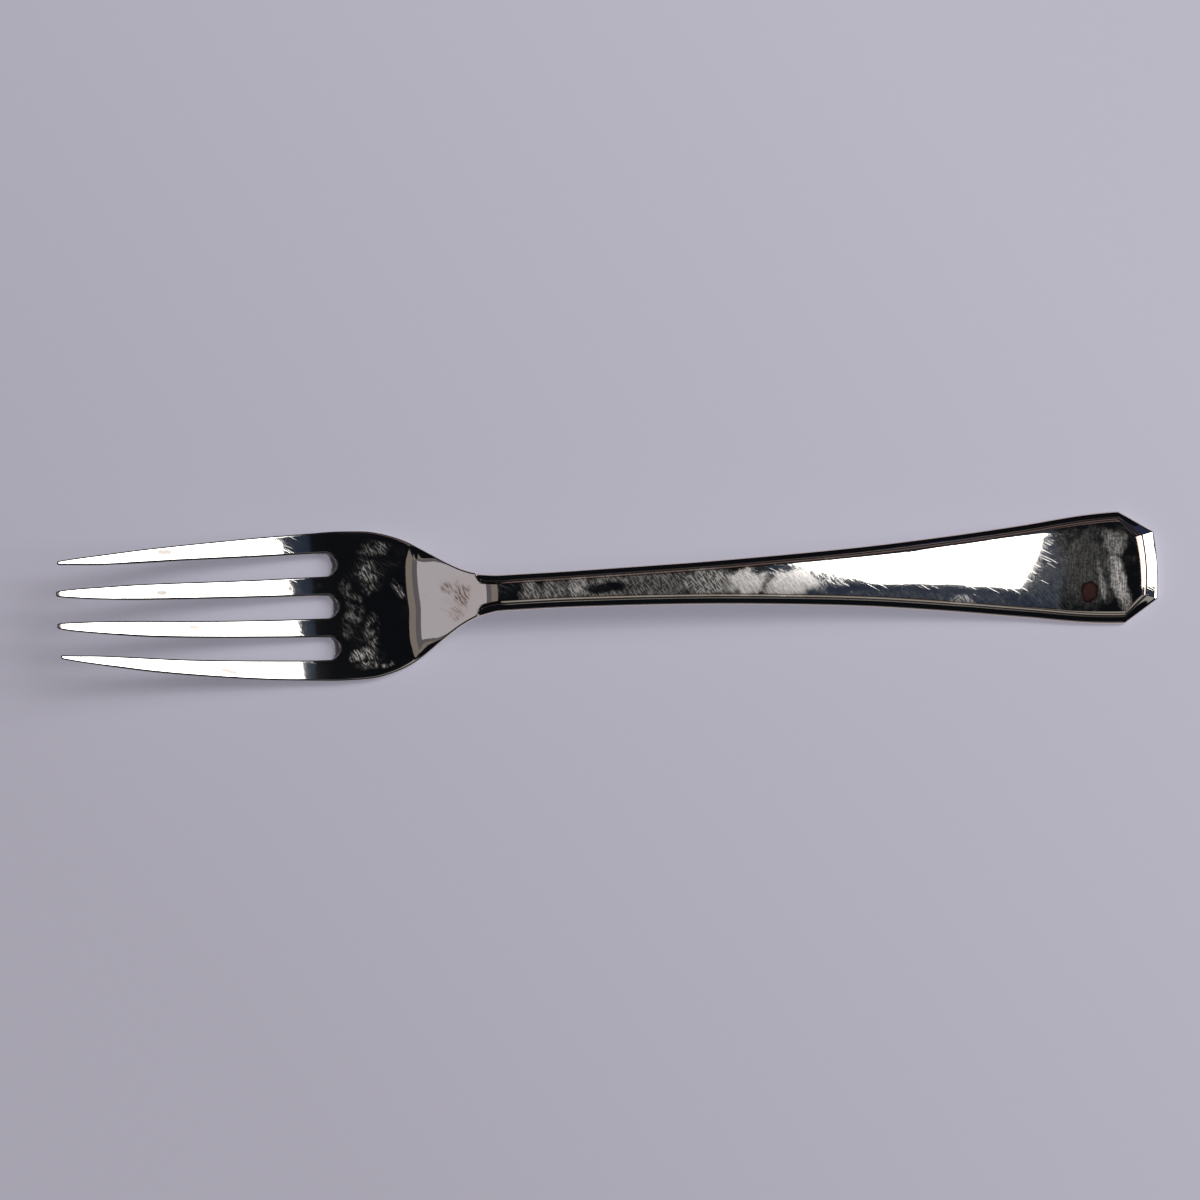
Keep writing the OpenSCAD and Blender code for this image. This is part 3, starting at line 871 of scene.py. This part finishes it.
def floor_material():
    """A pale floor. Part of its colour is for the camera and the metal alone, with painted light that grows
    to +X and +Y.
    """
    material = bpy.data.materials.new("floor")
    material.use_nodes = True
    graph = Graph(material)
    # Painted light: the floor's glow grows towards +X and +Y, the window's side
    slopes = {0: graph.point, 1: PAINTED_LIGHT_SLOPES}
    painted_falloff = graph.add("ShaderNodeVectorMath", slopes, "Value", operation="DOT_PRODUCT")
    limits = {
        "From Min": -PAINTED_LIGHT_RANGE,
        "From Max": PAINTED_LIGHT_RANGE,
        "To Min": 1 - PAINTED_LIGHT_RANGE,
        "To Max": 1 + PAINTED_LIGHT_RANGE,
    }
    level = graph.add("ShaderNodeMapRange", {"Value": painted_falloff, **limits})
    rays = graph.tree.nodes.new("ShaderNodeLightPath").outputs
    seen = graph.greatest(rays["Is Camera Ray"], rays["Is Glossy Ray"], rays["Is Transmission Ray"])
    shader = material.node_tree.nodes["Principled BSDF"]
    shader.inputs["Base Color"].default_value = (*FLOOR_COLOUR, 1)
    shader.inputs["Roughness"].default_value = FLOOR_ROUGHNESS
    shader.inputs["Specular IOR Level"].default_value = FLOOR_GLOSS
    shader.inputs["Emission Color"].default_value = (*FLOOR_GLOW, 1)
    material.node_tree.links.new(graph.times(seen, level), shader.inputs["Emission Strength"])
    return material


# Stage, lights and camera

def make_floor():
    mesh = bpy.data.meshes.new("floor")
    corners = [(x * FLOOR_HALF, y * FLOOR_HALF, 0) for x, y in ((-1, -1), (1, -1), (1, 1), (-1, 1))]
    mesh.from_pydata(corners, [], [(0, 1, 2, 3)])
    floor = bpy.data.objects.new("floor", mesh)
    floor.data.materials.append(floor_material())
    bpy.context.scene.collection.objects.link(floor)


DAYLIGHT = (1, 0.985, 0.965)
WINDOW_LEVEL = 6.3
WINDOW_HEIGHT = 8
CARD_HEIGHT = 1.6
ROOM = (0.004, 0.0045, 0.006)
SKY = (0.3, 0.5, 1)
SKY_LEVEL = 0.036
SKY_HEIGHT = 8.2
SHADE = (1, 0.9, 1)
SHADE_LEVEL = 0.105
SHELF = (1, 0.86, 0.77)
SHELF_LEVEL = 0.19
# The window: corner nearest -X and -Y and size in metres, and turn about that corner in degrees
WINDOW_PARTS = {
    "window": [(2.59, 0.32), (12.5, 2.2), 20],
    "window_low": [(2.6, 0.32), (12.4, 2.2), 0],
    "window_base": [(3.6, 0.27), (11.4, 0.05), 0],
    "window_side": [(7.7, -3.0), (8.7, 3.27), 0],
}
# Cards: tilts towards +X and +Y that they span, seen from the fork, in degrees, then colour and level
CARDS = {
    "low_near": [(-40, 40), (-78, -70), (0.97, 0.97, 1), 0.2],
    "left_wall": [(-66, -50), (0, 25), (0.98, 0.92, 1), 0.42],
    "left_shade": [(-50, -36), (-9.5, 24), SHADE, SHADE_LEVEL],
    "left_shade_near": [(-66, -50), (-9.5, 0), SHADE, SHADE_LEVEL],
    "left_shade_far": [(-66, -50), (25, 34), SHADE, SHADE_LEVEL],
    "left_shelf": [(-36, -19), (-12, 24), SHELF, SHELF_LEVEL],
    "left_shelf_near": [(-66, -36), (-13, -9.5), SHELF, SHELF_LEVEL],
    "left_shelf_middle": [(-50, -36), (24, 28), SHELF, SHELF_LEVEL],
    "left_shelf_far": [(-66, -50), (34, 37), SHELF, SHELF_LEVEL],
    "far_side": [(-15, 26), (26, 58), (1, 0.74, 0.72), 0.12],
    "far_corner": [(26, 52), (40, 64), (0.3, 0.4, 1), 0.055],
    "near_side": [(-15, 40), (-46, -12), (1, 0.97, 0.92), 0.28],
}


def lamp(name, corner, size, colour, level, turn=0, height=WINDOW_HEIGHT):
    """A lit rectangle facing down, from its corner nearest -X and -Y, turned about that corner."""
    light = bpy.data.lights.new(name, "AREA")
    light.shape = "RECTANGLE"
    light.size, light.size_y = size
    light.color = colour
    light.energy = level * math.pi * size[0] * size[1]
    middle = Matrix.Rotation(math.radians(turn), 4, "Z") @ Vector((size[0] / 2, size[1] / 2, 0))
    lamp_object = bpy.data.objects.new(name, light)
    lamp_object.location = middle + Vector((*corner, height))
    lamp_object.rotation_euler.z = math.radians(turn)
    bpy.context.scene.collection.objects.link(lamp_object)


def card(name, tilt_x, tilt_y, colour, level):
    """A lit card that spans these tilts towards +X and +Y, in degrees, seen from the fork."""
    low, high = (
        Vector((math.tan(math.radians(a)), math.tan(math.radians(b)))) * CARD_HEIGHT
        for a, b in zip(tilt_x, tilt_y)
    )
    lamp(name, low, high - low, colour, level, 0, CARD_HEIGHT)


def make_lights():
    for name, (corner, size, turn) in WINDOW_PARTS.items():
        lamp(name, corner, size, DAYLIGHT, WINDOW_LEVEL, turn)
    lamp("sky_glow", (1.75, -1.2), (7.2, 5.5), SKY, SKY_LEVEL, 0, SKY_HEIGHT)
    for name, row in CARDS.items():
        card(name, *row)


def make_camera():
    """Looks down as the photograph does, from a little towards -Y."""
    distance = 1200 * MM
    tilt = math.radians(6.62)
    roll = math.radians(-2.912)
    pixels_per_mm = 5.381
    image_width = 1200
    fork_middle = (611.3, 593.9)
    offset = Vector((fork_middle[0] - image_width / 2, image_width / 2 - fork_middle[1])) / pixels_per_mm * MM
    forward = Vector((0, math.sin(tilt), -math.cos(tilt)))
    level = Vector((1, 0, 0))
    up = level.cross(forward)
    right = math.cos(roll) * level + math.sin(roll) * up
    up = math.cos(roll) * up - math.sin(roll) * level
    eye = -distance * forward - offset.x * right - offset.y * up
    data = bpy.data.cameras.new("camera")
    data.lens = distance / MM * pixels_per_mm / image_width * data.sensor_width
    data.clip_start = 0.05
    camera = bpy.data.objects.new("camera", data)
    axes = Matrix((right, up, -forward)).transposed()
    camera.matrix_world = Matrix.Translation(eye) @ axes.to_4x4()
    bpy.context.scene.collection.objects.link(camera)
    bpy.context.scene.camera = camera


def make_world():
    """A nearly dark room, which the metal reflects where no lamp or card stands."""
    world = bpy.data.worlds.new("world")
    world.use_nodes = True
    world.node_tree.nodes["Background"].inputs["Color"].default_value = (*ROOM, 1)
    bpy.context.scene.world = world


make_camera()
make_floor()
make_world()
make_lights()

fork = make_fork()
fork.data.materials.append(worn_silver())
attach(fork, "root")
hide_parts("fork")

bpy.context.scene.view_settings.view_transform = "Standard"
